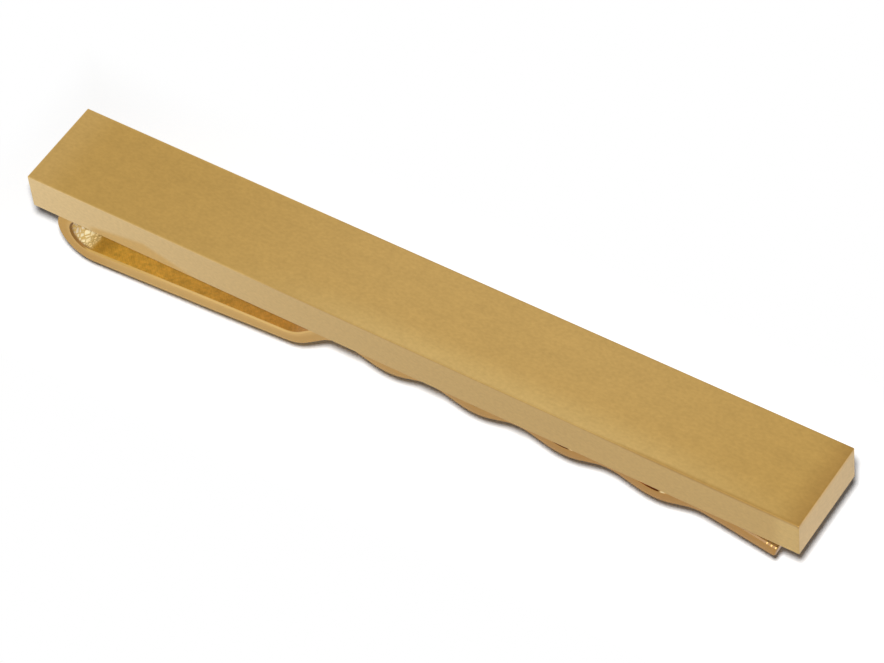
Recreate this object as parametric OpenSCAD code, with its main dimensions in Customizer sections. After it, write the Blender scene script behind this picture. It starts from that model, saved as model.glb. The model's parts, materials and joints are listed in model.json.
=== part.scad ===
// Slide-on tie clip: a solid brushed bar with one bent spring strip brazed under its left end.
// X runs along the bar with the open mouth at +X, Y is across the bar, and the show face looks to +Z.
// The origin is under the middle of the bar, at the lowest point of the strip.

/* [Bar] */
// Length of the bar
bar_l = 55; // [48:0.5:62]
// Width of the bar
bar_w = 6.5; // [5.6:0.1:9]
// Thickness of the bar
bar_t = 2.7; // [1.5:0.1:4]
// Radius that breaks every edge of the bar
bar_edge_r = 0.1; // [0.05:0.05:0.5]

/* [Strip] */
// Width of the spring strip
strip_w = 4.8; // [3.6:0.1:5.6]
// Thickness of the strip at its root, bend and arm
strip_t = 1; // [0.8:0.05:1.2]
// Thickness of the strip where the waves are pressed
grip_t = 0.85; // [0.7:0.05:1]
// Length of arm over which the strip thins towards the waves
thinning_l = 6; // [3:0.5:10]

/* [Root and braze] */
// Length of the flat root under the bar
root_l = 5; // [3:0.5:9]
// Thickness of the braze between the root and the bar
seam_t = 0.05; // [0.03:0.01:0.1]
// Leg of the braze fillet round the root
seam_leg = 0.3; // [0.1:0.05:0.4]

/* [Bend and arm] */
// Distance from the left end of the bar to the outside of the bend
bend_setback = 0.85; // [0.5:0.05:3]
// Inside radius of the bend
bend_r = 1.25; // [1:0.05:1.5]
// Angle by which the arm closes on the bar
arm_angle = 4.1; // [2:0.1:5]

/* [Crank and waves] */
// Inside radius of the corner where the arm turns up
corner_r = 2; // [0.6:0.1:2.6]
// Angle of the crank
crank_angle = 38; // [30:0.5:45]
// Clearance between the first crest and the bar
grip_gap = 0.35; // [0.25:0.05:0.5]
// Number of waves
wave_count = 4; // [3:1:4]
// Distance from one crest to the next
wave_pitch = 6.25; // [5.8:0.05:6.6]
// Height from trough to crest
wave_h = 0.75; // [0.4:0.05:1]
// Radius of the strip's middle line at crests and troughs
wave_r = 3; // [1.8:0.1:3.2]
// Angle by which the row of waves opens towards the mouth
wave_tilt = 0.9; // [0:0.1:2]

/* [Lip] */
// Angle of the lip that leads the cloth in
lip_angle = 12.5; // [6:0.5:18]
// Length of the straight lip
lip_l = 4.7; // [3:0.1:6]
// Distance from the tip of the strip to the right end of the bar
tip_setback = 2.1; // [1:0.1:4]
// Corner radius of the tip, seen from above
tip_r = 0.2; // [0.1:0.1:1.2]

/* [Hidden] */
// Fineness of the arcs in the strip's outline and in the bar's edges, in degrees
arc_step = 3;
edge_step = 30;
// Overrun of every cut
over = 1;

// Depth of the strip below the bar, and so the height of the bar's back
bend_outer_r = bend_r + strip_t;
back_z = seam_t + 2 * bend_outer_r;
root_z = back_z - seam_t - strip_t;

// Axis of the bend, which is also the axis that the arm springs about
bend_x = bend_setback + bend_outer_r - bar_l / 2;
bend_z = bend_outer_r;
bend_mid_r = bend_r + strip_t / 2;
corner_mid_r = corner_r + strip_t / 2;

// Slope of a wave's flank, for which arcs and flanks give both the pitch and the height. Where
// the arcs alone fill the pitch they meet with no flank between them, and set the height.
flank_room = norm([2 * wave_r - wave_h, wave_pitch / 2]) - 2 * wave_r;
flank = flank_room > 0
    ? atan2(wave_pitch / 2, 2 * wave_r - wave_h) - acos(2 * wave_r / (flank_room + 2 * wave_r))
    : asin(wave_pitch / (4 * wave_r));
flank_run = flank_room > 0 ? (wave_pitch / 2 - 2 * wave_r * sin(flank)) / cos(flank) : 0;

// A station is [x, z, heading, distance] on the strip's middle line. Headings turn up from +X.
function run_on(s, run) =
    [s[0] + run * cos(s[2]), s[1] + run * sin(s[2]), s[2], s[3] + run];
function turn_on(s, r, turn) =
    let (side = sign(turn), to = s[2] + turn)
    [
        s[0] + side * r * (sin(to) - sin(s[2])),
        s[1] + side * r * (cos(s[2]) - cos(to)),
        to,
        s[3] + 2 * PI * r * abs(turn) / 360
    ];

// A move is [run, radius, turn]: a straight run, then a bend of that radius through that turn
function after(s, move) = turn_on(run_on(s, move[0]), move[1], move[2]);
function stations(s, moves, i = 0) =
    i == len(moves) ? [] :
    let (
        move = moves[i],
        corner = run_on(s, move[0]),
        steps = ceil(abs(move[2]) / arc_step),
        bent = [for (k = [1:1:steps]) turn_on(corner, move[1], move[2] * k / steps)]
    )
    concat(move[0] > 0 ? [corner] : [], bent, stations(after(s, move), moves, i + 1));
function last(list) = list[len(list) - 1];

// Bend table from the top of the first crest to the tip
wave_moves = [
    for (k = [1:wave_count]) each [
        [flank_run, wave_r, 2 * flank],
        [flank_run, wave_r, k < wave_count ? -2 * flank : wave_tilt - flank - lip_angle]
    ]
];
crest_moves = concat([[0, wave_r, -flank - wave_tilt]], wave_moves, [[lip_l, 0, 0]]);
crest_to_tip = last(stations([0, 0, 0, 0], crest_moves));

// The arm and the crank take the lengths that set the first crest grip_gap below the bar
// and the tip at its setback
arm_start = [
    bend_x + bend_mid_r * sin(arm_angle),
    bend_z - bend_mid_r * cos(arm_angle),
    arm_angle,
    0
];
tip_x = bar_l / 2 - tip_setback;
crest_z = back_z - grip_gap - grip_t / 2;
straight_x = tip_x - crest_to_tip[0] - arm_start[0]
    - corner_mid_r * (sin(crank_angle) - sin(arm_angle)) - wave_r * sin(crank_angle);
straight_z = crest_z - arm_start[1]
    - corner_mid_r * (cos(arm_angle) - cos(crank_angle)) - wave_r * (1 - cos(crank_angle));
corner_turn = crank_angle - arm_angle;
arm_run = (straight_x * sin(crank_angle) - straight_z * cos(crank_angle)) / sin(corner_turn);
crank_run = (straight_z * cos(arm_angle) - straight_x * sin(arm_angle)) / sin(corner_turn);

// Whole bend table of the arm, and the thickness at a distance along it
arm_moves = concat(
    [
        [arm_run - thinning_l, 0, 0],
        [thinning_l, corner_mid_r, corner_turn],
        [crank_run, wave_r, -crank_angle]
    ],
    crest_moves
);
thinned_at = arm_run + 2 * PI * corner_mid_r * corner_turn / 360;
function thickness(distance) =
    lookup(distance, [[arm_run - thinning_l, strip_t], [thinned_at, grip_t]]);

// Point beside a station, by a share of the thickness towards the bar
function beside(s, share) =
    let (off = share * thickness(s[3]))
    [s[0] - off * sin(s[2]), s[1] + off * cos(s[2])];
arm_line = concat([arm_start], stations(arm_start, arm_moves));
arm_outline = concat(
    [for (s = arm_line) beside(s, 1 / 2)],
    [for (k = [len(arm_line) - 1:-1:0]) beside(arm_line[k], -1 / 2)]
);

// Rectangle about the origin with rounded corners
function rounded(a, b, r) = [
    for (quarter = [0:3], turn = [0:edge_step:90])
        let (
            angle = 90 * quarter + turn,
            side_a = (quarter == 0 || quarter == 3) ? 1 : -1,
            side_b = quarter < 2 ? 1 : -1
        )
        [side_a * (a / 2 - r) + r * cos(angle), side_b * (b / 2 - r) + r * sin(angle)]
];

// Block about the origin with every edge broken
module broken_block(size, r) {
    intersection() {
        linear_extrude(size.z + over, center = true)
            polygon(rounded(size.x, size.y, r));
        rotate([90, 0, 0])
            linear_extrude(size.y + over, center = true)
                polygon(rounded(size.x, size.z, r));
        rotate([90, 0, 90])
            linear_extrude(size.x + over, center = true)
                polygon(rounded(size.y, size.z, r));
    }
}

// Solid bar whose upper face is the one that shows on the tie
module front_bar() {
    color([0.74, 0.6, 0.33])
        translate([0, 0, back_z + bar_t / 2])
            broken_block([bar_l, bar_w, bar_t], bar_edge_r);
}

// Ridge of braze seen along the strip: flat on the bar, falling to the foot of its fillet
module seam_profile(span, depth) {
    polygon([
        [-span / 2 - seam_leg, 0],
        [span / 2 + seam_leg, 0],
        [span / 2 + seam_leg, -seam_t],
        [span / 2, -depth],
        [-span / 2, -depth],
        [-span / 2 - seam_leg, -seam_t]
    ]);
}

// Braze under the bar: a film over the whole root and a fillet round its sides and end
module braze_seam() {
    depth = seam_t + seam_leg;
    color([0.8, 0.62, 0.3])
        difference() {
            intersection() {
                translate([bend_x, 0, back_z])
                    rotate([90, 0, 90])
                        linear_extrude(root_l + seam_leg)
                            seam_profile(strip_w, depth);
                translate([bend_x, 0, back_z])
                    rotate([90, 0, 0])
                        linear_extrude(bar_w, center = true)
                            seam_profile(2 * root_l, depth);
            }
            translate([bend_x - over, -strip_w / 2, root_z])
                cube([root_l + over, strip_w, strip_t]);
        }
}

// Flat root of the strip, brazed under the bar
module spring_root() {
    color([0.85, 0.66, 0.36])
        translate([bend_x, -strip_w / 2, root_z])
            cube([root_l, strip_w, strip_t]);
}

// Bend that joins the root to the arm, and gives the clip its spring
module spring_bend() {
    color([0.8, 0.6, 0.32])
        translate([bend_x, 0, bend_z])
            rotate([90, -90, 0])
                rotate_extrude(angle = 180 + arm_angle, $fn = 96)
                    translate([bend_r, -strip_w / 2])
                        square([strip_t, strip_w]);
}

// Rounds one corner of the tip, seen from above
module tip_corner_cut() {
    difference() {
        translate([-tip_r, -tip_r, 0])
            cube([tip_r + over, tip_r + over, back_z]);
        translate([-tip_r, -tip_r, -over])
            cylinder(r = tip_r, h = back_z + 2 * over, $fn = 48);
    }
}

// Arm, crank, waves and lip of the strip, in one piece
module spring_arm() {
    tip_end_x = tip_x + grip_t / 2 * sin(lip_angle);
    color([0.78, 0.58, 0.3])
        difference() {
            rotate([90, 0, 0])
                linear_extrude(strip_w, center = true)
                    polygon(arm_outline);
            for (side = [0, 1])
                mirror([0, side, 0])
                    translate([tip_end_x, strip_w / 2, 0])
                        tip_corner_cut();
        }
}

front_bar();
braze_seam();
spring_root();
spring_bend();
spring_arm();
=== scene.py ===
"""Slide-on tie clip: a solid brushed bar with one bent spring strip brazed under its left end."""

import json
from math import acos, atan2, ceil, copysign, cos, dist, hypot, pi, radians, sin, sqrt

import bmesh
import bpy
from mathutils import Matrix, Vector, noise


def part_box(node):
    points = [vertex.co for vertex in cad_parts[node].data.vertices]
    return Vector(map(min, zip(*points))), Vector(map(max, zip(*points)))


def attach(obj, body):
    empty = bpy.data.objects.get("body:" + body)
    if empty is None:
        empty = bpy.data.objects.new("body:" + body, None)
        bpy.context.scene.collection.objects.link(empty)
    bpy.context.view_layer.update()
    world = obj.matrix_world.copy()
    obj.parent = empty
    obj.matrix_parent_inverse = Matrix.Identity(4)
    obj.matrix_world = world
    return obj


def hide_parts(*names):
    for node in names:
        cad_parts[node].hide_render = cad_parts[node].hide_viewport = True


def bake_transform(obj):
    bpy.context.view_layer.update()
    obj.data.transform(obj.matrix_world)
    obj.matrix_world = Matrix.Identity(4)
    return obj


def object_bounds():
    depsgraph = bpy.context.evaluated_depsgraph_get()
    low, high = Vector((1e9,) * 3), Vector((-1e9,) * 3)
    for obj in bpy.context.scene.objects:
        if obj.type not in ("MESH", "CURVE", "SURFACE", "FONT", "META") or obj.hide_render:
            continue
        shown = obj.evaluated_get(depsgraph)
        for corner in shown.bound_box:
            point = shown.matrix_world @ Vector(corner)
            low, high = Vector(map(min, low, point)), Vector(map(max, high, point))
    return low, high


bl_info = {
    "name": "Tie Clip",
    "version": (1, 0, 0),
    "blender": (4, 5, 0),
    "location": "3D View > Sidebar > Tie Clip",
    "description": "Dresses a slide-on tie clip in brushed and knurled gold plate",
    "category": "Add Mesh",
}

MM = 0.001
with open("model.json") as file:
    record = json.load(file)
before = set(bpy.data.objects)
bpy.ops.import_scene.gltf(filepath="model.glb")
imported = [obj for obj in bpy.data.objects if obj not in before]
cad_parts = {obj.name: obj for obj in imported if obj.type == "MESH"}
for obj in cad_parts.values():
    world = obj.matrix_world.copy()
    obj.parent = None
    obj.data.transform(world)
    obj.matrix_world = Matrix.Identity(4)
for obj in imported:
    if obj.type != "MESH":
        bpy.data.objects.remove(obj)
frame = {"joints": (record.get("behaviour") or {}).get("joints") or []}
CAD_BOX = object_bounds()
BAR_LOW, BAR_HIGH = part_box("front_bar")
BAR_MIDDLE, BAR_HALF = (BAR_LOW + BAR_HIGH) / 2, (BAR_HIGH - BAR_LOW) / 2
ROOT_LOW, ROOT_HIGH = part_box("spring_root")
ARM_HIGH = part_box("spring_arm")[1]
BEND_X, _, BEND_Z = next(j for j in frame["joints"] if j["name"] == "strip_spring")["pos_m"]
BACK_Z = BAR_LOW.z
STRIP_W = ROOT_HIGH.y - ROOT_LOW.y
STRIP_T = ROOT_HIGH.z - ROOT_LOW.z
SEAM_T = BACK_Z - ROOT_HIGH.z
BEND_OUTER_R = ROOT_HIGH.z - BEND_Z
BEND_MID_R = BEND_OUTER_R - STRIP_T / 2
ROOT_REACH = ROOT_HIGH.x - BEND_X

# Distance under which two points count as one
TOUCH = 0.001 * MM
# Rows of faces in the strip's rounded edges, and the angle between two of them
EDGE_ROWS = 4
EDGE_STEP = pi / 2 / EDGE_ROWS
# Angle of a step along the strip's bends, and the one from which its edges are shaded sharp
PATH_STEP = radians(1.5)
SHARP_ANGLE = radians(24)
# Upward parts of a normal past which a face of the blank is inner face, or at least inner rim
INNER_FACE, INNER_RIM = 0.9, 0.5

# Braze: steps along a side and round a quarter turn, run past the bend's axis, length and share of its taper
# there, depth of its tongue in the seam, and level, weight and size of its unevenness
BRAZE_STEPS = 28
BRAZE_TURNS = 5
BRAZE_RUN_OUT = 0.4 * MM
BRAZE_TAPER_L, BRAZE_THINNEST = 0.9 * MM, 0.04
BRAZE_TONGUE = 0.25 * MM
BRAZE_LEVEL, BRAZE_WEIGHT, BRAZE_WAVE_L = 0.84, 0.3, 1.1 * MM

# Squares of a normal's part between which one face's tone, or brushing, gives way to the next
FACE_TURN = (0.3, 0.7)
GRAIN_TURN = (0.4, 0.6)
# In half lengths of the bar: how far right of the middle the face's painted light is palest, where the
# painted shade of the ends starts and is full, and the reach of the sides' painted sheen at the bend
PALE_SHIFT, PALE_REACH, SIDE_REACH = 0.18, (0.2, 1.0), 1.5
# Soft border of the painted warm reflection over the root, and how much slower it falls on the left
REFLECTION_BORDER, REFLECTION_LEFT = (0.7, 1.05), 0.55
# Evenly worn share of the edge band (wear with painted highlight and shade), and how much wider it is at the
# front
EDGE_CORE, EDGE_WIDENING = 0.3, 1.3

# Where the strip's knurl, finish and painted light and shade change, in millimetres past the start of the arm
STRIP_FADES = {
    "pale cells": (-2.3, -1.3), "fine cells": (-1.3, -0.4), "dull rim": (-1, -0.2), "knurl": (-0.6, 0.2),
    "burnish": (-0.35, 0.2), "warm edge": (0, 2), "stain": (0.2, 1.1), "deep grip": (1, 17),
    "bright rim": (1.5, 7), "mouth": (3, 40), "lip": (43.5, 44.5), "tip": (50, 50.2), "spots": (50.45, 50.5),
}
# Cells: their disorder, how many fine ones lie along one, their border as a share of a cell, and their height
# over that of a brush mark
CELL_DISORDER, FINE_CELLS, CELL_EDGE, CELL_HEIGHT = 0.7, 1.7, 0.2, 12
# Slant of the front of the painted shadow in the grip
SHADOW_SLANT = 0.5
# Slopes between which a wave's rim turns from painted shade to bright, and its painted glint starts and ends
RISING_SLOPE = (0.08, 0.16)
GLINT_START, GLINT_END = (0.12, 0.17), (0.2, 0.25)
# Painted glints at the tip: the place of one past the start of the arm, their spacing and their soft border
SPOT_X, SPOT_PITCH = 50.94 * MM, 0.3 * MM
SPOT_BORDER = (0.3, 0.95)
# Parts of a normal along the bar between which the tip's end face starts
END_FACE = (0.7, 0.9)
# Depths of the relief that a brush mark and a ripple of the braze leave
BRUSH_RELIEF, RIPPLE_RELIEF = 0.0012 * MM, 0.012 * MM

# Half the side of the floor
FLOOR_HALF = 600 * MM
# Its part that takes the shadow: half its length, the middle and half of its width, and its soft border
SHADOW_HALF_L = 33.5 * MM
SHADOW_Y, SHADOW_HALF_W = 3 * MM, 7.5 * MM
SHADOW_BAND = 5 * MM


def number(name, description, value, **kind):
    """A property that holds a number, whose kind is a unit, a subtype or limits."""
    return bpy.props.FloatProperty(name=name, description=description, default=value, **kind)


def length(name, description, millimetres):
    """A property that holds a length."""
    return number(name, description, millimetres * MM, unit="LENGTH", precision=5)


def lengths(name, description, *millimetres):
    """A property that holds lengths along X, Y and Z."""
    metres = [part * MM for part in millimetres]
    return bpy.props.FloatVectorProperty(
        name=name, description=description, default=metres, unit="LENGTH", precision=5
    )


def angle(name, description, degrees):
    """A property that holds an angle."""
    return number(name, description, radians(degrees), subtype="ANGLE")


def share(name, description, value):
    """A property that holds a number from 0 to 1."""
    return number(name, description, value, min=0, max=1, subtype="FACTOR")


def linear(code):
    """Linear red, green and blue of a colour written as six hexadecimal digits."""
    shown = [int(code[i:i + 2], 16) / 255 for i in (0, 2, 4)]
    return [c / 12.92 if c <= 0.04045 else ((c + 0.055) / 1.055) ** 2.4 for c in shown]


def tone(name, description, code):
    """A property that holds a colour."""
    return bpy.props.FloatVectorProperty(
        name=name, description=description, default=linear(code), size=3, min=0, max=1, subtype="COLOR"
    )


class BarSettings(bpy.types.PropertyGroup):
    """Sizes and colours of the bar."""

    edge_r: length("Edge radius", "Radius of the bar's broken edges", 0.06)
    grain: lengths("Grain", "Size of a brush mark", 9, 0.07, 0.07)
    streak: lengths("Streaks", "Size of a streak of brush marks", 36, 0.42, 0.42)
    fleck: lengths("Flecks", "Size of a mark where the brush skipped", 0.27, 0.18, 0.18)
    blotch: lengths("Blotches", "Size of a cluster of flecks", 1.08, 1.08, 1.08)
    cloud: lengths("Clouds", "Size of a soft change of tone", 9, 2.25, 2.25)
    # The show face, sides and ends take lit and shaded copies of one plating: painted light and shade
    face_tone: tone("Show face", "Show face and back", "BC995A")
    face_end_shade_tone: tone("Show face ends", "Show face towards its two ends", "B5914F")
    face_front_sheen_tone: tone("Show face front", "Show face along its front edge", "C4A466")
    # Sides: painted sheen at the bend and the tip, painted shade towards the mouth
    side_bend_sheen_tone: tone("Side at the bend", "Long sides over the bend", "DDC08B")
    side_mouth_shade_tone: tone("Side past the middle", "Long sides towards the open end", "BC9C63")
    side_tip_sheen_tone: tone("Side tip", "Long sides right at the open end", "C5A66B")
    end_lit_tone: tone("Ends", "The two ends", "C7A975")
    # Heat tint: a painted warm reflection over the root and along the top of the ends
    warm_reflection_tone: tone("Heat tint", "Tint that the brazing left over the root", "CBA45F")
    reflection_x: length("Heat tint place", "Place of the tint's top past the bend's axis", 5.5)
    reflection_l: length("Heat tint length", "Length of the tint to the right of its top", 4.3)
    reflection_h: length("Heat tint height", "Height of the tint on the bar's sides", 1.3)
    # Edge band: wear with a painted highlight; the dull edge tone is painted shade on the right edges and end
    edge_w: length("Edge band", "Width of the worn band along the edges", 0.13)
    wear_and_highlight_tone: tone("Worn edge", "Edges polished by wear", "DDBD80")
    dark_shade_tone: tone("Dull edge", "Edges left dull by the brush", "A27D42")


class StripSettings(bpy.types.PropertyGroup):
    """Bend table, edges, surface and colours of the spring strip."""

    grip_t: length("Grip thickness", "Thickness where the waves are pressed", 0.85)
    thinning_l: length("Thinning length", "Length of arm over which the strip thins", 6)
    arm_angle: angle("Arm angle", "Angle by which the arm closes on the bar", 4.1)
    corner_r: length("Corner radius", "Inside radius where the arm turns up", 2)
    crank_angle: angle("Crank angle", "Angle of the crank", 38)
    grip_gap: length("Grip gap", "Clearance between the first crest and the bar", 0.35)
    wave_count: bpy.props.IntProperty(name="Waves", description="Number of waves", default=4, min=1)
    wave_pitch: length("Wave pitch", "Distance from one crest to the next", 6.25)
    wave_h: length("Wave height", "Height from trough to crest", 0.75)
    wave_r: length("Wave radius", "Radius of the middle line at crests and troughs", 3)
    wave_tilt: angle("Wave tilt", "Angle by which the waves open towards the mouth", 0.9)
    lip_angle: angle("Lip angle", "Angle of the lip that leads the cloth in", 12.5)
    lip_l: length("Lip length", "Length of the straight lip", 4.7)
    tip_r: length("Tip radius", "Corner radius of the tip, seen from above", 0.15)
    edge_r: length("Edge radius", "Radius of the outer edges", 0.05)
    # The rim is a real chamfer; its bright tone is a painted highlight
    rim_w: length("Rim width", "Width of the burnished rim along the grip", 0.1)
    knurl_pitch: length("Knurl pitch", "Half the spacing of the diamonds", 0.1)
    cell_w: length("Cell width", "Width of the soft cells in the bend", 0.42)
    # Bright rims: a painted highlight
    bright_rim_l: length("Burnished length", "Length of arm whose rims are rubbed bright", 17.5)
    knurl_depth: length("Knurl depth", "Depth of the pressed grooves", 0.02)
    grain: lengths("Grain", "Size of a brush mark", 2.5, 0.09, 0.06)
    cloud: lengths("Clouds", "Size of a soft change of tone", 3.5, 1.5, 1.2)
    mottle: lengths("Mottles", "Size of a mottle in the grip", 0.9, 0.6, 0.6)
    speckle: lengths("Speckles", "Size of a speckle in the grip", 0.22, 0.22, 0.22)
    wander: length("Wander", "How far the borders of worn places wander", 0.35)
    edge_tone: tone("Strip", "Edges and outer face of the strip", "CBA45D")
    edge_bend_tone: tone("Strip at the bend", "Edges and outer face round the bend", "C89C4E")
    # Painted shade: the strip darkens towards the mouth, on its lip and at its end
    mouth_shade_tone: tone("Strip at the mouth", "Edges and outer face past the crank", "AB7F3E")
    grip_tone: tone("Grip", "Knurled inner face", "D6A842")
    # Deep grip tone: painted shade on the grip further under the bar
    under_bar_shade_tone: tone("Deep grip", "Knurled inner face further under the bar", "CC9440")
    haze: share("Haze", "Share of light that the grip's relief scatters", 0.5)
    # Rim tone: a painted highlight along the arm and at the tip's glints
    rim_highlight_tone: tone("Rim", "Burnished rim along the grip", "DCB775")
    # Dull rim tone: painted shade on the rims in the bend, beside them, and between the tip's glints
    dark_shade_tone: tone("Dull rim", "Rims in the bend", "8C6634")
    # Dark rim tone: painted shade in the slits where a wave falls under the bar, and in the grip's painted
    # shadow
    deep_shade_tone: tone("Dark rim", "Rims on the falling side of each wave", "54290A")
    # Painted highlights: the pale cells of the bend, their worn pale share, and the glints on the waves
    bend_highlight_tone: tone("Grip in the bend", "Burnished inner face of the bend", "FAF0C4")
    wear_and_highlight_tone: tone("Worn cells", "Cells deep in the bend, worn pale", "E8DCC4")
    groove_tone: tone("Grooves", "Grooves between the cells of the bend", "C6A862")


class BrazeSettings(bpy.types.PropertyGroup):
    """Size and colour of the braze."""

    leg: length("Fillet leg", "Leg of the fillet round the root", 0.3)
    ripple: lengths("Ripples", "Size of a ripple in the braze", 0.35, 0.35, 0.35)
    tone: tone("Braze", "Plated braze", "C9A265")


class StageSettings(bpy.types.PropertyGroup):
    """Camera, floor and light."""

    lens: number("Lens", "Focal length of the camera", 173.25, unit="CAMERA")
    aim: lengths("Aim", "Point that the camera looks at", -0.001, 1.246, 3.6)
    distance: length("Distance", "Distance from the camera to its aim", 258.31)
    heading: angle("Heading", "Camera's turn from +Y towards +X", -38.425)
    pitch: angle("Pitch", "Camera's tilt above the horizon", -50.595)
    roll: angle("Roll", "Camera's turn about its own axis", -7.256)
    floor_tone: tone("Floor", "Colour of the floor", "F4F4F4")
    floor_gap: length("Floor gap", "Gap between the clip and the floor", 3.5)
    floor_gain: number("Floor gain", "Gain with which the camera sees the floor", 1.3, min=1)
    fill: share("Fill", "Level of the soft light from all round", 0.07)
    lamp_w: number("Lamps", "Power of each lamp in watts", 0.77, min=0)
    lamp_size: length("Lamp size", "Diameter of each lamp", 14)
    floor_lamp_left: length("Floor lamp left", "Distance of the floor lamp to the left of the camera", 4)
    floor_lamp_up: length("Floor lamp up", "Distance of the floor lamp above the camera", 12)


class TieClipSettings(bpy.types.PropertyGroup):
    """All settings of the tie clip."""

    bar: bpy.props.PointerProperty(type=BarSettings, name="Bar", description="The bar")
    strip: bpy.props.PointerProperty(type=StripSettings, name="Strip", description="The spring strip")
    braze: bpy.props.PointerProperty(type=BrazeSettings, name="Braze", description="The braze")
    stage: bpy.props.PointerProperty(type=StageSettings, name="Stage", description="Camera and light")


class Value:
    """An output socket. Arithmetic on it adds Math nodes to its tree."""

    def __init__(self, tree, socket):
        self.tree = tree
        self.socket = socket

    def output(self, name):
        """Another output of the same node."""
        return Value(self.tree, self.socket.node.outputs[name])

    def math(self, operation, *others):
        """One Math node, with this value first."""
        return self.tree.add("ShaderNodeMath", {"operation": operation}, [self, *others])

    def clamped(self, low, high):
        """This value, held between two limits."""
        return self.math("MAXIMUM", low).math("MINIMUM", high)

    def __add__(self, other):
        return self.math("ADD", other)

    def __sub__(self, other):
        return self.math("SUBTRACT", other)

    def __rsub__(self, other):
        return self.tree.add("ShaderNodeMath", {"operation": "SUBTRACT"}, [other, self])

    def __mul__(self, other):
        return self.math("MULTIPLY", other)

    def __truediv__(self, other):
        return self.math("DIVIDE", other)

    __radd__ = __add__
    __rmul__ = __mul__


class Tree:
    """A node tree of a material, the world or a geometry modifier."""

    def __init__(self, data):
        self.data = data

    def add(self, kind, settings=None, inputs=None, output=None):
        """Adds a node: its settings first, then the values or links of its sockets."""
        node = self.data.nodes.new(kind)
        for name, value in (settings or {}).items():
            setattr(node, name, value)
        sockets = [socket for socket in node.inputs if socket.enabled]
        pairs = inputs.items() if isinstance(inputs, dict) else enumerate(inputs or [])
        for key, value in pairs:
            by_name = [socket for socket in sockets if socket.name == key]
            socket = by_name[0] if by_name else sockets[key]
            if isinstance(value, Value):
                self.data.links.new(value.socket, socket)
            else:
                socket.default_value = value
        shown = [socket for socket in node.outputs if socket.enabled]
        if output:
            return Value(self, node.outputs[output])
        return Value(self, shown[0]) if shown else None

    def split(self, vector):
        """The three numbers of a vector."""
        parts = self.add("ShaderNodeSeparateXYZ", inputs=[vector])
        return [parts.output(axis) for axis in "XYZ"]

    def joined(self, x, y, z):
        """A vector made of three numbers."""
        return self.add("ShaderNodeCombineXYZ", inputs=[x, y, z])

    def mixed(self, factor, first, second):
        """A colour between two colours."""
        settings = {"data_type": "RGBA", "clamp_factor": True}
        pair = [colour if isinstance(colour, Value) else (*colour, 1) for colour in (first, second)]
        return self.add("ShaderNodeMix", settings, {"Factor": factor, "A": pair[0], "B": pair[1]})

    def layered(self, colour, *layers):
        """A colour under layers, each given as how far it covers and its own colour."""
        for cover, layer in layers:
            colour = self.mixed(cover, colour, layer)
        return colour

    def shaded(self, colour, factor):
        """A colour multiplied by a number."""
        colour = colour if isinstance(colour, Value) else (*colour,)
        return self.add("ShaderNodeVectorMath", {"operation": "SCALE"}, {"Vector": colour, "Scale": factor})

    def ramped(self, value, start, end):
        """0 up to start and 1 from end on, with a smooth step between them."""
        settings = {"interpolation_type": "SMOOTHSTEP"}
        return self.add("ShaderNodeMapRange", settings, {"Value": value, "From Min": start, "From Max": end})

    def faded(self, place, line, first, last):
        """0 up to first and 1 from last on, both in millimetres past a line."""
        return self.ramped(place, line + first * MM, line + last * MM)

    def noise(self, place, sizes, detail=2.0, roughness=0.5):
        """Noise whose marks have these sizes along the three axes."""
        scale = [1 / size for size in sizes]
        stretched = self.add("ShaderNodeMapping", inputs={"Vector": place, "Scale": scale})
        inputs = {"Vector": stretched, "Scale": 1.0, "Detail": detail, "Roughness": roughness}
        return self.add("ShaderNodeTexNoise", inputs=inputs)


def new_metal(name):
    """An empty metal, with its tree and its shader's node."""
    material = bpy.data.materials.new(name)
    material.use_nodes = True
    shader = material.node_tree.nodes["Principled BSDF"]
    shader.inputs["Metallic"].default_value = 1
    return material, Tree(material.node_tree), shader


def finish_metal(tree, shader, colour, roughness, height, relief):
    """Links a metal's colour, roughness and bump to its shader."""
    bumped = tree.add("ShaderNodeBump", inputs={"Strength": 1.0, "Distance": relief, "Height": height})
    for name, value in {"Base Color": colour, "Roughness": roughness, "Normal": bumped}.items():
        tree.data.links.new(value.socket, shader.inputs[name])


def bar_marks(tree, place, on_end, sizes, detail, roughness=0.5):
    """Marks along the bar, which run across it on its two ends."""
    along = tree.noise(place, sizes, detail, roughness)
    across = tree.noise(place, (sizes[1], sizes[0], sizes[2]), detail, roughness)
    return along + on_end * (across - along)


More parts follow.
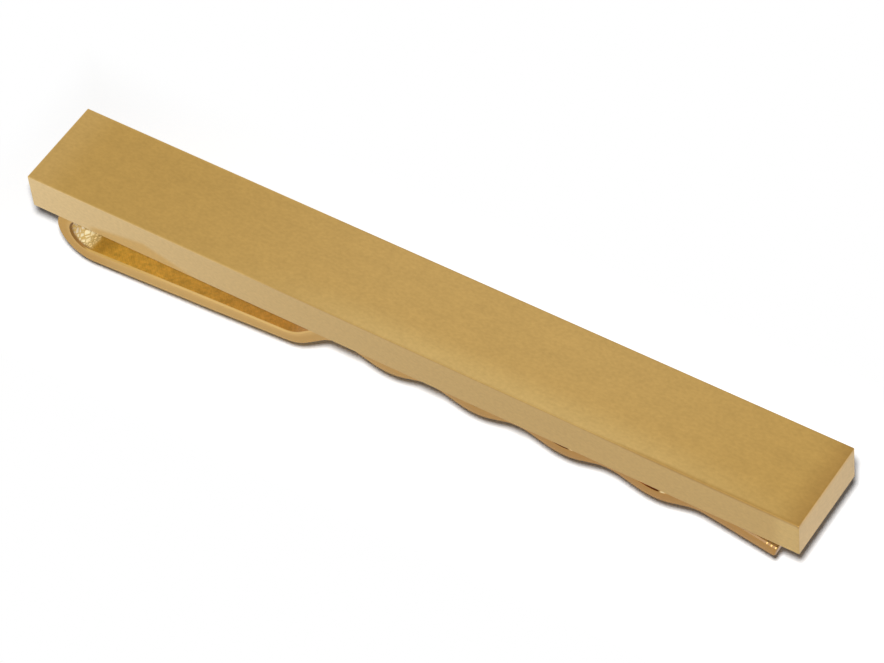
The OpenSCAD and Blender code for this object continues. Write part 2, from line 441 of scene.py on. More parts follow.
def bar_tone(tree, bar, place, to_end, to_side):
    """Tone of the plating on the bar's faces, sides and ends."""
    x, y, z = tree.split(place)

    # Show face and back: painted light, palest in the middle and along the front, with painted shade at the
    # ends
    off_middle = ((x - BAR_MIDDLE.x) / BAR_HALF.x - PALE_SHIFT).math("ABSOLUTE")
    ends = tree.ramped(off_middle, *PALE_REACH) * (0.2 + 0.8 * tree.faded(x, BAR_LOW.x, 0.5, 3))
    by_front = (1 - tree.ramped(y, BAR_LOW.y, -1 * MM)) * tree.faded(x, 0, -13, 0) * (1 - ends)
    face = tree.layered(
        bar.face_tone,
        (ends, bar.face_end_shade_tone),
        (by_front, bar.face_front_sheen_tone),
        (0.85 * tree.faded(x, BAR_HIGH.x, -2, 0.4), bar.dark_shade_tone),
    )

    # Long sides: painted sheen at the bend and tip, painted shade towards the mouth, a painted warm
    # reflection over the root
    to_mouth = 1 - ((x - BAR_LOW.x) / (SIDE_REACH * BAR_HALF.x)).math("MINIMUM", 1)
    past = x - BEND_X - bar.reflection_x
    reach = past.math("MAXIMUM", -REFLECTION_LEFT * past) / bar.reflection_l + (z - BACK_Z) / bar.reflection_h
    reflected = (1 - tree.ramped(reach, *REFLECTION_BORDER)) * tree.faded(x, BEND_X, 1, 1.8)
    side = tree.layered(
        bar.side_bend_sheen_tone,
        (1 - to_mouth * to_mouth, bar.side_mouth_shade_tone),
        (tree.faded(x, BAR_HIGH.x, -2, -1), bar.side_tip_sheen_tone),
        (0.95 * reflected, bar.warm_reflection_tone),
    )

    # The ends turn to the painted warm reflection towards their top
    end = tree.mixed(0.8 * tree.faded(z, BAR_HIGH.z, -0.5, -0.1), bar.end_lit_tone, bar.warm_reflection_tone)
    # Face, sides and ends each take their own tone: painted light, lit and shaded copies of one plating
    return tree.layered(
        face, (tree.ramped(to_side, *FACE_TURN), side), (tree.ramped(to_end, *FACE_TURN), end)
    )


def bar_wear(tree, bar, place, cloud):
    """Strength and tone of the edge band: wear with a painted highlight on the left, painted shade on the
    right.
    """
    x, y, z = tree.split(place)

    # The middle one of the distances to the three pairs of faces is the distance to the nearest edge
    in_x, in_y, in_z = [
        half - (part - middle).math("ABSOLUTE") for part, half, middle in zip((x, y, z), BAR_HALF, BAR_MIDDLE)
    ]
    to_edge = in_x.math("MAXIMUM", in_y).math("MINIMUM", in_z).math("MAXIMUM", in_x.math("MINIMUM", in_y))
    top = tree.ramped(z, BAR_HIGH.z - 2 * bar.edge_w, BAR_HIGH.z - bar.edge_w)
    # Right of the middle the edges take painted shade, left of it wear with a painted highlight
    dull = tree.faded(x, 0, -13, -7)
    front = 1 - tree.ramped(y, BAR_LOW.y + 2 * bar.edge_w, BAR_LOW.y + 4 * bar.edge_w)
    front = front * tree.faded(x, 0, 12, 19)
    on_edge = 1 - tree.ramped(to_edge, EDGE_CORE * bar.edge_w, bar.edge_w * (1 + EDGE_WIDENING * front))
    wear = on_edge * (0.1 + 0.9 * top) * (0.35 + 0.2 * dull + 0.5 * front) * (0.4 + 0.45 * cloud)
    return wear, tree.mixed(dull, bar.wear_and_highlight_tone, bar.dark_shade_tone)


def bar_metal(bar):
    """Gold plate, brushed along the bar, with painted light and shade on its faces and a painted warm
    reflection over the braze.
    """
    material, tree, shader = new_metal("bar_brushed_gold")
    place = tree.add("ShaderNodeTexCoord", output="Object")
    normal = tree.add("ShaderNodeTexCoord", output="Normal")
    to_end, to_side, _ = [part * part for part in tree.split(normal)]
    on_end = tree.ramped(to_end, *GRAIN_TURN)
    grain = bar_marks(tree, place, on_end, bar.grain, detail=3.0, roughness=0.6)
    fleck = bar_marks(tree, place, on_end, bar.fleck, detail=1.0)
    streak = tree.noise(place, bar.streak)
    cloud = tree.noise(place, bar.cloud, detail=3.0)
    blotch = tree.noise(place, bar.blotch, detail=1.0)
    weaker_on_side = blotch + 0.7 * to_side * (0.5 - blotch)

    wear, wear_and_highlight_tone = bar_wear(tree, bar, place, cloud)
    colour = tree.mixed(wear, bar_tone(tree, bar, place, to_end, to_side), wear_and_highlight_tone)
    shade = 0.78 + 0.06 * cloud + 0.05 * streak + 0.03 * grain + 0.22 * fleck + 0.1 * weaker_on_side
    colour = tree.shaded(colour, shade)
    finish_metal(tree, shader, colour, 0.3 + 0.1 * grain + 0.04 * cloud, grain, BRUSH_RELIEF)
    return material


def arm_start_of(strip):
    """Length of the strip's middle line from the end of the root to the start of the arm."""
    return ROOT_REACH + BEND_MID_R * (pi + strip.arm_angle)


class StripPlace:
    """Where a point lies on the strip laid flat, and which of its surfaces it is on."""

    def __init__(self, tree, strip):
        self.tree = tree
        self.flat = tree.add("ShaderNodeAttribute", {"attribute_name": "flat"}, output="Vector")
        self.along, self.across, self.height = tree.split(self.flat)
        self.grip, self.diamond, self.rim = [
            tree.add("ShaderNodeAttribute", {"attribute_name": name}, output="Fac")
            for name in ("grip", "diamond", "rim")
        ]
        self.leaning = tree.split(tree.add("ShaderNodeTexCoord", output="Normal"))[0]
        self.inset = self.across.math("ABSOLUTE")
        self.cloud = tree.noise(self.flat, strip.cloud, detail=3.0)
        self.arm_start = arm_start_of(strip)
        self.on_waves = tree.faded(self.along, self.arm_start + strip.bright_rim_l, 0, 1)
        self.on_lip = self.past("lip")
        self.wandering = self.along + strip.wander * (self.cloud - 0.5)
        # Zone of the bend's cells: rubbed relief with a painted highlight
        self.burnished = (1 - self.past("burnish", self.wandering)) * self.grip

    def past(self, fade, along=None):
        """0 before one of the strip's fades and 1 past it, at the point's own length or another."""
        return self.tree.faded(along or self.along, self.arm_start, *STRIP_FADES[fade])


def side_tone(tree, strip, at):
    """Tone of the strip's sides and outer face: warm round the bend, painted shade towards the mouth, and a
    painted highlight below the rim along the arm.
    """
    colour = tree.mixed(at.past("mouth"), strip.edge_tone, strip.mouth_shade_tone)
    by_rim = tree.ramped(at.height, 0, STRIP_T / 2) * (1 - at.on_waves)
    return tree.layered(
        strip.edge_bend_tone, (at.past("warm edge"), colour), (0.55 * by_rim, strip.rim_highlight_tone)
    )


def grip_tone(tree, strip, at):
    """Tone of the pressed inner face, with painted shade further under the bar and a painted shadow near the
    bend.
    """
    shadowed = 1 - at.past("stain", at.along + SHADOW_SLANT * (at.inset - STRIP_W / 2))
    # Painted shade further under the bar
    colour = tree.mixed(at.past("deep grip"), strip.grip_tone, strip.under_bar_shade_tone)
    # Painted shadow on the grip near the bend
    colour = tree.mixed(0.3 * shadowed, colour, strip.deep_shade_tone)
    mottle = tree.noise(at.flat, strip.mottle, detail=1.0)
    speckle = tree.noise(at.flat, strip.speckle, detail=1.0)
    shade = 0.45 + 0.08 * at.diamond + 0.2 * at.cloud + 0.5 * mottle + 0.65 * speckle
    # On the lip the grip takes the mouth's painted shade
    return tree.mixed(at.on_lip, tree.shaded(colour, shade), strip.mouth_shade_tone)


def cell_tone(tree, strip, at):
    """Tone of the bend, whose diamonds are rubbed to soft cells with a painted highlight on them, and the
    bulge of those cells.
    """
    diagonal = sqrt(0.5)
    skew = tree.joined(diagonal * (at.along + at.across), diagonal * (at.along - at.across), 0)
    cells = {"Vector": skew, "Scale": 1 / strip.cell_w, "Randomness": CELL_DISORDER}
    cell = tree.split(tree.add("ShaderNodeTexVoronoi", inputs=cells, output="Color"))[0]
    outline = {"feature": "DISTANCE_TO_EDGE"}
    soft = tree.add("ShaderNodeTexVoronoi", outline, cells, output="Distance")
    cells["Scale"] = FINE_CELLS / strip.cell_w
    fine = tree.add("ShaderNodeTexVoronoi", outline, cells, output="Distance")
    fineness = at.past("fine cells", at.wandering)
    bulge = tree.ramped(soft + fineness * (fine - soft), 0, CELL_EDGE)

    # Pale cells: a painted highlight
    colour = tree.mixed(at.past("pale cells", at.wandering), strip.wear_and_highlight_tone, strip.bend_highlight_tone)
    colour = tree.mixed(tree.faded(at.along, 0, 4.5, 7), strip.edge_tone, colour)
    colour = tree.shaded(tree.mixed(0.6 * fineness, colour, strip.grip_tone), 0.84 + 0.2 * cell)
    groove = tree.shaded(strip.groove_tone, 1 - 0.25 * fineness)
    # Painted shade beside the rim
    beside_rim = tree.faded(at.inset, STRIP_W / 2, -0.3, -0.1)
    return tree.layered(groove, (bulge, colour), (beside_rim, strip.dark_shade_tone)), bulge


def rim_highlight_tone(tree, strip, at):
    """Tone of the rims: a painted highlight along the arm, painted shade in the bend and where a wave falls,
    a painted glint where it rises, and a mask of those falls.
    """
    slope = 0 - at.leaning
    bright = at.past("bright rim") * (0.55 + 0.5 * at.cloud)
    falling = at.on_waves * (1 - tree.ramped(slope, *RISING_SLOPE)) * (1 - at.on_lip)
    glint = tree.ramped(slope, *GLINT_START) * (1 - tree.ramped(slope, *GLINT_END))
    colour = tree.layered(
        strip.edge_tone,
        (bright, strip.rim_highlight_tone),
        (1 - at.past("dull rim"), strip.dark_shade_tone),
        (falling, strip.deep_shade_tone),
        (0.45 * glint * at.on_waves, strip.bend_highlight_tone),
        # On the lip the rims take painted shade
        (at.on_lip, tree.shaded(strip.mouth_shade_tone, 0.6)),
    )
    return colour, falling


def strip_metal(strip):
    """Gold plate on the strip, with its pressed grip and the cells of its bend, and painted light and shade
    on grip, cells and rims.
    """
    material, tree, shader = new_metal("strip_gold")
    at = StripPlace(tree, strip)
    grain = tree.noise(at.flat, strip.grain, detail=3.0, roughness=0.6)
    cells, bulge = cell_tone(tree, strip, at)
    rims, falling = rim_highlight_tone(tree, strip, at)
    # Painted shade in the slit beside the rim where a wave falls under the bar
    beside_rim = tree.faded(at.inset, STRIP_W / 2, -0.4, -0.2)

    # Three painted glints at the tip on painted shade, and its end face in painted shade
    spot = ((at.along - at.arm_start - SPOT_X) * (2 * pi / SPOT_PITCH)).math("COSINE")
    glinting = tree.ramped(spot, *SPOT_BORDER) * at.past("spots")
    spots = tree.mixed(glinting, strip.dark_shade_tone, tree.shaded(strip.rim_highlight_tone, 0.6))
    on_tip = at.past("tip")
    inner_or_rim = at.grip.math("MAXIMUM", at.rim)
    end_face = on_tip * tree.ramped(at.leaning, *END_FACE)

    colour = tree.layered(
        side_tone(tree, strip, at),
        (at.grip, tree.mixed(at.burnished, grip_tone(tree, strip, at), cells)),
        (at.rim, rims),
        (at.grip * falling * beside_rim, strip.deep_shade_tone),
        (on_tip * inner_or_rim, spots),
        (end_face, tree.shaded(strip.mouth_shade_tone, 0.9)),
    )
    colour = tree.shaded(colour, 0.9 + 0.12 * at.cloud + 0.06 * grain)
    roughness = 0.26 + 0.12 * grain + 0.05 * at.cloud + 0.1 * at.burnished + 0.15 * at.on_lip * at.rim

    # The grip, the burnished cells and the inside of the lip are less metallic than the rest
    dull_lip = at.on_lip * inner_or_rim * (1 - on_tip * inner_or_rim * glinting) * (1 - end_face)
    metallic = (1 - strip.haze * at.grip * (1 - at.on_lip)) * (1 - 0.7 * at.burnished)
    metallic = metallic * (1 - 0.85 * dull_lip)
    tree.data.links.new(metallic.socket, shader.inputs["Metallic"])
    finish_metal(tree, shader, colour, roughness, grain + CELL_HEIGHT * at.burnished * bulge, BRUSH_RELIEF)
    return material


def braze_metal(braze):
    """Smooth plated braze with the ripples that it froze in."""
    material, tree, shader = new_metal("braze_gold")
    place = tree.add("ShaderNodeTexCoord", output="Object")
    ripple = tree.noise(place, braze.ripple, detail=3.0)
    colour = tree.shaded(braze.tone, 0.88 + 0.2 * ripple)
    finish_metal(tree, shader, colour, 0.2 + 0.2 * ripple, ripple, RIPPLE_RELIEF)
    return material


def placed(name, data):
    """A new object in the scene that holds a mesh, a curve, a camera or a lamp."""
    holder = bpy.data.objects.new(name, data)
    bpy.context.scene.collection.objects.link(holder)
    return holder


def place_piece(name, mesh, material=None):
    """An object at the origin that holds a finished mesh."""
    if material:
        mesh.materials.append(material)
    return placed(name, mesh)


def smooth_mesh(name, shape):
    """A smoothly shaded mesh of a finished shape."""
    mesh = bpy.data.meshes.new(name)
    shape.to_mesh(mesh)
    shape.free()
    mesh.shade_smooth()
    return mesh


def geometry_tree(name, labels):
    """A geometry tree with an input for each label, and its input values by label."""
    data = bpy.data.node_groups.new(name, "GeometryNodeTree")
    data.is_modifier = True
    data.interface.new_socket("Geometry", in_out="INPUT", socket_type="NodeSocketGeometry")
    for label in labels:
        data.interface.new_socket(label, in_out="INPUT", socket_type="NodeSocketFloat")
    data.interface.new_socket("Geometry", in_out="OUTPUT", socket_type="NodeSocketGeometry")
    tree = Tree(data)
    first = tree.add("NodeGroupInput")
    return tree, {label: first.output(label) for label in ("Geometry", *labels)}


def close_tree(tree, geometry, material):
    """Realizes what a geometry tree made, gives it its material and hands it on."""
    real = tree.add("GeometryNodeRealizeInstances", inputs=[geometry])
    covered = tree.add("GeometryNodeSetMaterial", inputs={"Geometry": real, "Material": material})
    tree.add("NodeGroupOutput", inputs=[covered])


def grown_mesh(source, tree, values):
    """Runs a geometry tree on an object, and returns the result as a plain mesh."""
    modifier = source.modifiers.new(tree.data.name, "NODES")
    modifier.node_group = tree.data
    for item in tree.data.interface.items_tree:
        if item.in_out == "INPUT" and item.name in values:
            modifier[item.identifier] = values[item.name]
    depsgraph = bpy.context.evaluated_depsgraph_get()
    grown = source.evaluated_get(depsgraph)
    mesh = bpy.data.meshes.new_from_object(grown, preserve_all_data_layers=True, depsgraph=depsgraph)
    source.modifiers.remove(modifier)
    bpy.data.objects.remove(source)
    return mesh


def run_on(station, run):
    """The station after a straight run. A station is x, z and heading on the middle line."""
    x, z, heading = station
    return (x + run * cos(heading), z + run * sin(heading), heading)


def turn_on(station, radius, turn):
    """The station after a bend of this radius through this turn."""
    x, z, heading = station
    side = copysign(radius, turn)
    to = heading + turn
    x += side * (sin(to) - sin(heading))
    z += side * (cos(heading) - cos(to))
    return (x, z, to)


def stations(start, moves):
    """Every station along a bend table, whose rows are a run, then a radius and a turn."""
    found = [start]
    for run, radius, turn in moves:
        if run > 0:
            found.append(run_on(found[-1], run))
        corner = found[-1]
        steps = ceil(abs(turn) / PATH_STEP)
        found += [turn_on(corner, radius, turn * k / steps) for k in range(1, steps + 1)]
    return found


def strip_line(strip):
    """Stations of the whole strip from the end of its root to its tip, and the stretch where it thins."""
    corner_mid_r = strip.corner_r + STRIP_T / 2
    pitch, rise, radius = strip.wave_pitch, strip.wave_h, strip.wave_r
    crown = 2 * radius - rise
    flank = atan2(pitch / 2, crown) - acos(2 * radius / hypot(crown, pitch / 2))
    flank_run = (pitch / 2 - 2 * radius * sin(flank)) / cos(flank)

    wave_moves = [(0, radius, -flank - strip.wave_tilt)]
    for wave in range(strip.wave_count):
        last = wave == strip.wave_count - 1
        down = strip.wave_tilt - flank - strip.lip_angle if last else -2 * flank
        wave_moves += [(flank_run, radius, 2 * flank), (flank_run, radius, down)]
    wave_moves.append((strip.lip_l, 0, 0))
    crest_to_tip = stations((0, 0, 0), wave_moves)[-1]

    root_end = (ROOT_HIGH.x, ROOT_HIGH.z - STRIP_T / 2, pi)
    root_moves = [(ROOT_REACH, BEND_MID_R, pi + strip.arm_angle)]
    arm_x, arm_z, _ = stations(root_end, root_moves)[-1]
    tip_x = ARM_HIGH.x - strip.grip_t / 2 * sin(strip.lip_angle)
    crest_z = BACK_Z - strip.grip_gap - strip.grip_t / 2
    low, high = strip.arm_angle, strip.crank_angle
    straight_x = (tip_x - crest_to_tip[0] - arm_x
                  - corner_mid_r * (sin(high) - sin(low)) - radius * sin(high))
    straight_z = (crest_z - arm_z
                  - corner_mid_r * (cos(low) - cos(high)) - radius * (1 - cos(high)))
    arm_run = (straight_x * sin(high) - straight_z * cos(high)) / sin(high - low)
    crank_run = (straight_z * cos(low) - straight_x * sin(low)) / sin(high - low)
    arm_moves = [
        (arm_run - strip.thinning_l, 0, 0),
        (strip.thinning_l, corner_mid_r, high - low),
        (crank_run, radius, -high),
    ]
    line = stations(root_end, root_moves + arm_moves + wave_moves)
    arm_stop = arm_start_of(strip) + arm_run
    thinning = (arm_stop - strip.thinning_l, arm_stop + corner_mid_r * (high - low))
    return line, thinning


def strip_path(strip):
    """The strip's middle line as a curve whose radius is half the strip's thickness."""
    line, (thick_to, thin_from) = strip_line(strip)
    curve = bpy.data.curves.new("strip_path", "CURVE")
    curve.dimensions = "3D"
    spline = curve.splines.new("POLY")
    spline.points.add(len(line) - 1)
    passed = 0
    for k, (x, z, _) in enumerate(line):
        if k:
            passed += dist((x, z), line[k - 1][:2])
        thinned = min(max((passed - thick_to) / (thin_from - thick_to), 0), 1)
        spline.points[k].co = (x, 0, z, 1)
        spline.points[k].radius = (STRIP_T + thinned * (strip.grip_t - STRIP_T)) / 2
    return placed("strip_path", curve)


def stored(tree, geometry, name, value, domain="POINT", kind="FLOAT"):
    """Stores a value on a mesh, under a name that the shader reads."""
    settings = {"domain": domain, "data_type": kind}
    inputs = {"Geometry": geometry, "Name": name, "Value": value}
    return tree.add("GeometryNodeStoreNamedAttribute", settings, inputs)


def strip_tree(material, sizes):
    """Presses the knurl into a flat blank and bends the blank along the path."""
    tree, given = geometry_tree("Bend the strip", sizes)
    path = given["Geometry"]
    width, thickness, edge_r, rim_w, tip_r, pitch, depth, arm_start = [given[label] for label in sizes]
    long = tree.add("GeometryNodeCurveLength", inputs=[path])
    rows = ((long - 2 * edge_r) / pitch).math("ROUND")
    row = (long - 2 * edge_r) / rows
    grip_w = width - 2 * rim_w
    columns = 2 * (grip_w / pitch / 2).math("ROUND")
    column = grip_w / columns

    # Blank along +X with its inner face up, a row of faces for each row of diamonds
    index = tree.add("GeometryNodeInputIndex")
    position = tree.add("GeometryNodeInputPosition")
    line = tree.add("GeometryNodeCurvePrimitiveLine", inputs={"End": (1, 0, 0)})
    count = rows + (2 * EDGE_ROWS + 1)
    rail = tree.add("GeometryNodeResampleCurve", inputs={"Curve": line, "Count": count})
    to_first = (EDGE_ROWS - index).clamped(0, EDGE_ROWS) * EDGE_STEP
    past_last = (index - EDGE_ROWS - rows).clamped(0, EDGE_ROWS) * EDGE_STEP
    rounding = edge_r * (1 - to_first.math("SINE") + past_last.math("SINE"))
    along = rounding + row * (index - EDGE_ROWS).clamped(0, rows)
    moved = {"Geometry": rail, "Position": tree.joined(along, 0, 0)}
    rail = tree.add("GeometryNodeSetPosition", inputs=moved)
    outline = {"Width": width, "Height": thickness}
    section = tree.add("GeometryNodeCurvePrimitiveQuadrilateral", inputs=outline)
    at_x, at_y, _ = tree.split(position)
    outer = at_y.math("GREATER_THAN", 0)
    corner_r = rim_w + outer * (edge_r - rim_w)
    corners = {"Curve": section, "Count": 1 + outer * (EDGE_ROWS - 1), "Radius": corner_r}
    section = tree.add("GeometryNodeFilletCurve", {"mode": "POLY"}, corners)
    inner_start = at_y.math("LESS_THAN", TOUCH - thickness / 2) * at_x.math("LESS_THAN", 0)
    cuts = {"Curve": section, "Cuts": inner_start * (columns - 1)}
    section = tree.add("GeometryNodeSubdivideCurve", inputs=cuts)
    swept = {"Curve": rail, "Profile Curve": section, "Fill Caps": True}
    blank = tree.add("GeometryNodeCurveToMesh", inputs=swept)

    # A point in the middle of each inner face, so that every diamond has its four facets
    upward = tree.split(tree.add("GeometryNodeInputNormal"))[2]
    facing_up = upward.math("GREATER_THAN", INNER_FACE)
    raised = {"Mesh": blank, "Selection": facing_up, "Offset Scale": 0.0, "Individual": True}
    poked = tree.add("GeometryNodeExtrudeMesh", {"mode": "FACES"}, raised)
    shrunk = {"Geometry": poked, "Selection": poked.output("Top"), "Scale": 0.0}
    poked = tree.add("GeometryNodeScaleElements", {"domain": "FACE"}, shrunk)
    blank = tree.add("GeometryNodeMergeByDistance", inputs={"Geometry": poked, "Distance": TOUCH})
    facing_rim = upward.math("GREATER_THAN", INNER_RIM) - facing_up
    blank = stored(tree, blank, "grip", facing_up, "FACE")
    blank = stored(tree, blank, "rim", facing_rim, "FACE")
    blank = stored(tree, blank, "flat", position, kind="FLOAT_VECTOR")

    # Knurl: grooves along both diagonals, rubbed off in the bend and run out at the two ends
    s, across, height = tree.split(position)
    to_tip = long - s
    to_end = s.math("MINIMUM", to_tip).math("MINIMUM", edge_r)
    this_row = (s - edge_r) / row
    this_column = across / column
    one_way = ((this_row + this_column) / 2).math("PINGPONG", 0.5)
    other_way = ((this_row - this_column) / 2).math("PINGPONG", 0.5)
    diamond = 2 * one_way.math("MINIMUM", other_way) * to_end / edge_r
    blank = stored(tree, blank, "diamond", diamond)
    inner = height.math("GREATER_THAN", thickness / 2 - TOUCH)
    pressed = tree.faded(s, arm_start, *STRIP_FADES["knurl"])
    height = height - inner * pressed * depth * (1 - diamond)

    # Rounded ends, and the tip's corners
    inset = edge_r - (edge_r * edge_r - (edge_r - to_end) * (edge_r - to_end)).math("SQRT")
    in_tip = tip_r - to_tip.math("MINIMUM", tip_r)
    corner = tip_r - (tip_r * tip_r - in_tip * in_tip).math("SQRT")
    across = across * (1 - 2 * (inset + corner) / width)
    height = height * (1 - 2 * inset / thickness)

    # Bending
    radius = tree.add("GeometryNodeInputRadius")
    sampled = {"Curves": path, "Value": radius, "Length": s}
    here = tree.add("GeometryNodeSampleCurve", {"mode": "LENGTH"}, sampled)
    middle_x, _, middle_z = tree.split(here.output("Position"))
    along_x, _, along_z = tree.split(here.output("Tangent"))
    lift = 2 * height / thickness * here
    bent = tree.joined(middle_x - along_z * lift, across, middle_z + along_x * lift)
    strip = tree.add("GeometryNodeSetPosition", inputs={"Geometry": blank, "Position": bent})
    smoothed = {"Geometry": strip, "Shade Smooth": True}
    strip = tree.add("GeometryNodeSetShadeSmooth", {"domain": "FACE"}, smoothed)
    sharp = tree.add("GeometryNodeInputMeshEdgeAngle").math("GREATER_THAN", SHARP_ANGLE)
    creased = {"Geometry": strip, "Selection": sharp, "Shade Smooth": False}
    strip = tree.add("GeometryNodeSetShadeSmooth", {"domain": "EDGE"}, creased)
    close_tree(tree, strip, material)
    return tree


def braze_outline():
    """Points round three sides of the root, each with the heading in which the fillet faces there."""
    side_l = ROOT_REACH + BRAZE_RUN_OUT
    left_x, right_x, low_y, high_y = BEND_X - BRAZE_RUN_OUT, ROOT_HIGH.x, ROOT_LOW.y, ROOT_HIGH.y
    steps = [k / BRAZE_STEPS for k in range(1, BRAZE_STEPS + 1)]
    turns = [90 * k / BRAZE_TURNS for k in range(1, BRAZE_TURNS + 1)]
    return [
        *((left_x + side_l * step, low_y, -90) for step in (0, *steps)),
        *((right_x, low_y, turn - 90) for turn in turns),
        *((right_x, low_y + STRIP_W * step, 0) for step in steps),
        *((right_x, high_y, turn) for turn in turns),
        *((right_x - side_l * step, high_y, 90) for step in steps),
    ]


def braze_section(braze, x, y, heading):
    """Section of the braze at one point of its outline: a concave fillet, and a tongue in the seam."""
    out = Vector((cos(radians(heading)), sin(radians(heading)), 0))
    here = Vector((x, y, BACK_Z))
    under = here - Vector((0, 0, SEAM_T))
    uneven = BRAZE_LEVEL + BRAZE_WEIGHT * noise.noise(Vector((x, y, 0)) / BRAZE_WAVE_L)
    taper = min(max((x - BEND_X + BRAZE_RUN_OUT) / BRAZE_TAPER_L, BRAZE_THINNEST), 1)
    leg = braze.leg * uneven * taper
    section = []
    for k in range(BRAZE_TURNS + 1):
        turn = pi / 2 * k / BRAZE_TURNS
        drop = Vector((0, 0, (leg + SEAM_T) * (1 - cos(turn))))
        section.append(here + out * leg * (1 - sin(turn)) - drop)
    return [*section, under, under - out * BRAZE_TONGUE, here - out * BRAZE_TONGUE]


def braze_bead(braze):
    """Braze round the root, which runs out as a film at the bend."""
    shape = bmesh.new()
    rings = [[shape.verts.new(point) for point in braze_section(braze, *spot)] for spot in braze_outline()]
    for one, other in zip(rings, rings[1:]):
        for k in range(len(one)):
            after = (k + 1) % len(one)
            shape.faces.new((one[k], one[after], other[after], other[k]))
    shape.faces.new(rings[0])
    shape.faces.new(rings[-1])
    bmesh.ops.remove_doubles(shape, verts=shape.verts, dist=TOUCH / 2)
    bmesh.ops.recalc_face_normals(shape, faces=shape.faces)
    return smooth_mesh("braze_bead", shape)


class TIECLIP_OT_bar(bpy.types.Operator):
    """Make the brushed bar"""

    bl_idname = "tieclip.bar"
    bl_label = "Bar"

    def execute(self, context):
        bar = context.scene.tie_clip.bar
        shape = bmesh.new()
        bmesh.ops.create_cube(shape, size=1, matrix=Matrix.Diagonal((*(BAR_HIGH - BAR_LOW), 1)))
        bmesh.ops.translate(shape, verts=shape.verts, vec=BAR_MIDDLE)
        bmesh.ops.bevel(
            shape, geom=shape.edges, offset=bar.edge_r, offset_type="OFFSET", segments=5, profile=0.5,
            affect="EDGES", clamp_overlap=True
        )
        piece = place_piece("bar", smooth_mesh("bar", shape), bar_metal(bar))
        weighted = piece.modifiers.new("weighted", "WEIGHTED_NORMAL")
        weighted.keep_sharp = True
        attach(piece, "bar_body")
        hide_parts("front_bar")
        return {"FINISHED"}


class TIECLIP_OT_strip(bpy.types.Operator):
    """Make the spring strip in one piece, knurled and bent"""

    bl_idname = "tieclip.strip"
    bl_label = "Spring strip"

    def execute(self, context):
        strip = context.scene.tie_clip.strip
        sizes = {
            "Width": STRIP_W, "Thickness": STRIP_T, "Edge radius": strip.edge_r, "Rim width": strip.rim_w,
            "Tip radius": strip.tip_r, "Knurl pitch": strip.knurl_pitch, "Knurl depth": strip.knurl_depth,
            "Arm start": arm_start_of(strip),
        }
        tree = strip_tree(strip_metal(strip), sizes)
        mesh = grown_mesh(strip_path(strip), tree, sizes)
        if not mesh.polygons:
            raise RuntimeError("the strip's tree made no faces")
        piece = place_piece("spring_strip", mesh)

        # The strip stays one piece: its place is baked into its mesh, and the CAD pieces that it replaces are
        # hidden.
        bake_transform(piece)
        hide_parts("spring_root", "spring_bend", "spring_arm")
        return {"FINISHED"}


class TIECLIP_OT_braze(bpy.types.Operator):
    """Make the braze round the root"""

    bl_idname = "tieclip.braze"
    bl_label = "Braze"

    def execute(self, context):
        braze = context.scene.tie_clip.braze
        piece = place_piece("braze_bead", braze_bead(braze), braze_metal(braze))
        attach(piece, "bar_body")
        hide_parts("braze_seam")
        return {"FINISHED"}


def camera_matrix(stage):
    """The camera's place and rotation, from its heading and pitch, and its roll about its own axis."""
    flat = cos(stage.pitch)
    ahead = Vector((flat * sin(stage.heading), flat * cos(stage.heading), sin(stage.pitch)))
    level = ahead.cross(Vector((0, 0, 1))).normalized()
    right = level * cos(stage.roll) + level.cross(ahead) * sin(stage.roll)
    rotation = Matrix((right, right.cross(ahead), -ahead)).transposed().to_4x4()
    return Matrix.Translation(Vector(stage.aim) - ahead * stage.distance) @ rotation


def place_camera(stage):
    """Camera at the photograph's viewing angle."""
    camera = bpy.data.cameras.new("camera")
    camera.lens = stage.lens
    camera.clip_start = 10 * MM
    holder = placed("camera", camera)
    holder.matrix_world = camera_matrix(stage)
    bpy.context.scene.camera = holder


def place_lamp(stage, name, left, up, state):
    """Disk lamp beside the camera that lights the floor alone, or everything but the floor."""
    light = bpy.data.lights.new(name, "AREA")
    light.shape = "DISK"
    light.size = stage.lamp_size
    light.energy = stage.lamp_w
    holder = placed(name, light)
    holder.matrix_world = camera_matrix(stage) @ Matrix.Translation((-left, up, 0))
    lit = bpy.data.collections.new(f"lit_by_{name}")
    lit.objects.link(bpy.data.objects["floor"])
    lit.collection_objects[0].light_linking.link_state = state
    holder.light_linking.receiver_collection = lit


def place_world(stage):
    """White all round for the camera and for reflections, and a softer level as light."""
    world = bpy.data.worlds.new("studio")
    world.use_nodes = True
    world.node_tree.nodes.clear()
    tree = Tree(world.node_tree)
    seen = tree.add("ShaderNodeLightPath", output="Is Camera Ray")
    mirrored = seen.output("Is Glossy Ray").math("MAXIMUM", seen.output("Is Transmission Ray"))
    level = stage.fill + (1 - stage.fill) * seen.math("MAXIMUM", mirrored)
    white = tree.add("ShaderNodeBackground", inputs={"Color": (1, 1, 1, 1), "Strength": level})
    tree.add("ShaderNodeOutputWorld", inputs=[white])
    bpy.context.scene.world = world


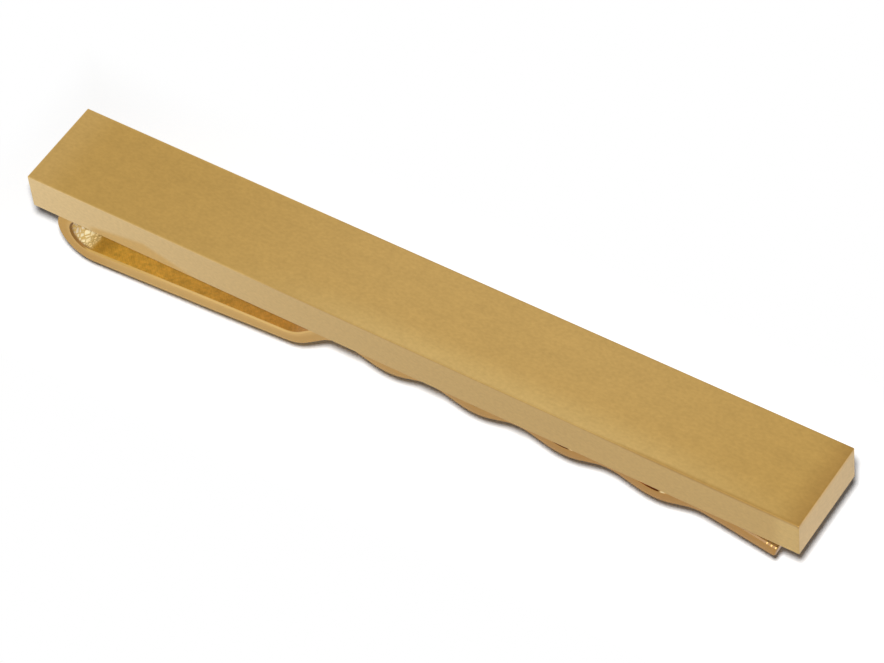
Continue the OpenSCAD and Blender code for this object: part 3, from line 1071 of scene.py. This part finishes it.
def place_floor(stage):
    """Pale floor just under the clip, which turns plain white further out."""
    level = CAD_BOX[0][2] - stage.floor_gap
    corners = [(x * FLOOR_HALF, y * FLOOR_HALF, level) for x, y in ((-1, -1), (1, -1), (1, 1), (-1, 1))]
    mesh = bpy.data.meshes.new("floor")
    mesh.from_pydata(corners, [], [(0, 1, 2, 3)])
    material = bpy.data.materials.new("floor")
    material.use_nodes = True
    material.node_tree.nodes.clear()
    tree = Tree(material.node_tree)
    x, y, _ = tree.split(tree.add("ShaderNodeTexCoord", output="Object"))
    past_end = x.math("ABSOLUTE") - SHADOW_HALF_L
    past_side = (y - SHADOW_Y).math("ABSOLUTE") - SHADOW_HALF_W
    far = tree.ramped(past_end.math("MAXIMUM", past_side), 0, SHADOW_BAND)
    seen = tree.add("ShaderNodeLightPath", output="Is Camera Ray")
    colour = tree.shaded(stage.floor_tone, 1 + (stage.floor_gain - 1) * seen)
    matt = tree.add("ShaderNodeBsdfDiffuse", inputs={"Color": colour})
    glow = tree.add("ShaderNodeEmission", inputs={"Color": (1, 1, 1, 1), "Strength": 1.0})
    white = far * seen.math("MAXIMUM", seen.output("Is Glossy Ray"))
    both = tree.add("ShaderNodeMixShader", inputs=[white, matt, glow])
    tree.add("ShaderNodeOutputMaterial", inputs={"Surface": both})
    place_piece("floor", mesh, material)


class TIECLIP_OT_stage(bpy.types.Operator):
    """Place the camera, the floor and the light"""

    bl_idname = "tieclip.stage"
    bl_label = "Stage"

    def execute(self, context):
        stage = context.scene.tie_clip.stage
        context.scene.view_settings.view_transform = "Standard"
        place_camera(stage)
        place_world(stage)
        place_floor(stage)

        # One lamp at the camera for the clip, and one above it for the floor and its narrow shadow
        place_lamp(stage, "clip_lamp", 0, 0, "EXCLUDE")
        place_lamp(stage, "floor_lamp", stage.floor_lamp_left, stage.floor_lamp_up, "INCLUDE")
        return {"FINISHED"}


class TIECLIP_PT_panel(bpy.types.Panel):
    """Lists the pieces of the tie clip and their settings"""

    bl_idname = "TIECLIP_PT_panel"
    bl_label = "Tie Clip"
    bl_space_type = "VIEW_3D"
    bl_region_type = "UI"
    bl_category = "Tie Clip"

    def draw(self, context):
        settings = context.scene.tie_clip
        for part in ("stage", "bar", "strip", "braze"):
            box = self.layout.box()
            box.operator(f"tieclip.{part}")
            group = getattr(settings, part)
            for name in group.__annotations__:
                box.prop(group, name)


CLASSES = (
    BarSettings, StripSettings, BrazeSettings, StageSettings, TieClipSettings,
    TIECLIP_OT_stage, TIECLIP_OT_bar, TIECLIP_OT_strip, TIECLIP_OT_braze, TIECLIP_PT_panel,
)


def register():
    """Adds the classes and the scene's settings."""
    for cls in CLASSES:
        bpy.utils.register_class(cls)
    bpy.types.Scene.tie_clip = bpy.props.PointerProperty(
        type=TieClipSettings, name="Tie clip", description="Settings of the tie clip"
    )


def unregister():
    """Removes what register added."""
    del bpy.types.Scene.tie_clip
    for cls in reversed(CLASSES):
        bpy.utils.unregister_class(cls)


def main():
    """Builds the stage and every piece."""
    register()
    bpy.ops.tieclip.stage()
    bpy.ops.tieclip.bar()
    bpy.ops.tieclip.strip()
    bpy.ops.tieclip.braze()


if __name__ == "__main__":
    main()
